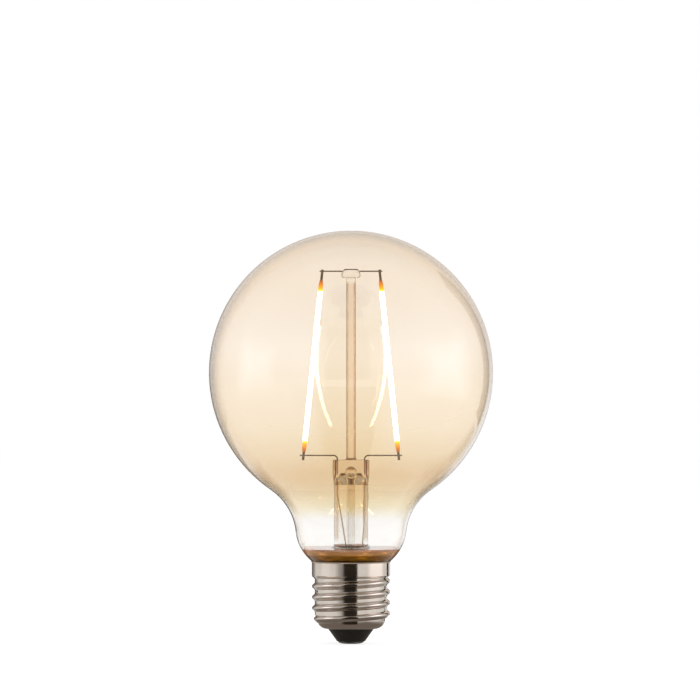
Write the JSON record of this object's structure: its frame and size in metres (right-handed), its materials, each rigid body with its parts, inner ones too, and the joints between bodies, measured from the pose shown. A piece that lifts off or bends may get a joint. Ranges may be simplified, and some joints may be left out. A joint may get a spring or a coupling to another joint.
{
  "type": "globe light bulb",
  "caption": "Amber glass globe bulb with long leaning filaments on a pressed glass stem, bonded into a nickel-plated screw cap with an insulated centre contact.",
  "frame": {"origin": "middle of the centre contact's flat, the lowest point of the lamp, on its axis", "axes": "+Z runs from the contact along the lamp's axis to the globe, +X to the right in the picture and -Y towards the camera"},
  "size_m": [0.095, 0.095, 0.1381],
  "materials": {
    "amber_glass": "clear, tinted amber",
    "clear_glass": "clear",
    "lead_metal": "drawn wire",
    "seal_metal": "copper-clad, reddish",
    "outer_metal": "tinned",
    "filament_coat": "warm, lit",
    "tab_metal": "satin",
    "nickel_plate": "polished nickel",
    "black_insulator": "glossy black",
    "contact_metal": "satin",
    "brown_cement": "cured cement",
    "board_laminate": "solder mask",
    "can_metal": "bright can",
    "resistor_body": "lacquered",
    "chip_moulding": "moulded"
  },
  "bodies": {
    "root": {"glass_envelope": "amber_glass", "stem_flare": "clear_glass", "exhaust_tube": "clear_glass", "support_post": "clear_glass", "cross_wire": "lead_metal", "inner_lead_left": "lead_metal", "inner_lead_right": "lead_metal", "seal_wire_left": "seal_metal", "seal_wire_right": "seal_metal", "outer_lead_left": "outer_metal", "outer_lead_right": "outer_metal", "filament_left": "filament_coat", "filament_right": "filament_coat", "filament_left_top_tab": "tab_metal", "filament_left_bottom_tab": "tab_metal", "filament_right_top_tab": "tab_metal", "filament_right_bottom_tab": "tab_metal", "screw_shell": "nickel_plate", "cap_insulator": "black_insulator", "centre_contact": "contact_metal", "basing_cement": "brown_cement", "driver_board": "board_laminate", "smoothing_capacitor": "can_metal", "fuse_resistor": "resistor_body", "neutral_wire": "outer_metal", "bridge_rectifier": "chip_moulding", "driver_chip": "chip_moulding"}
  },
  "joints": []
}
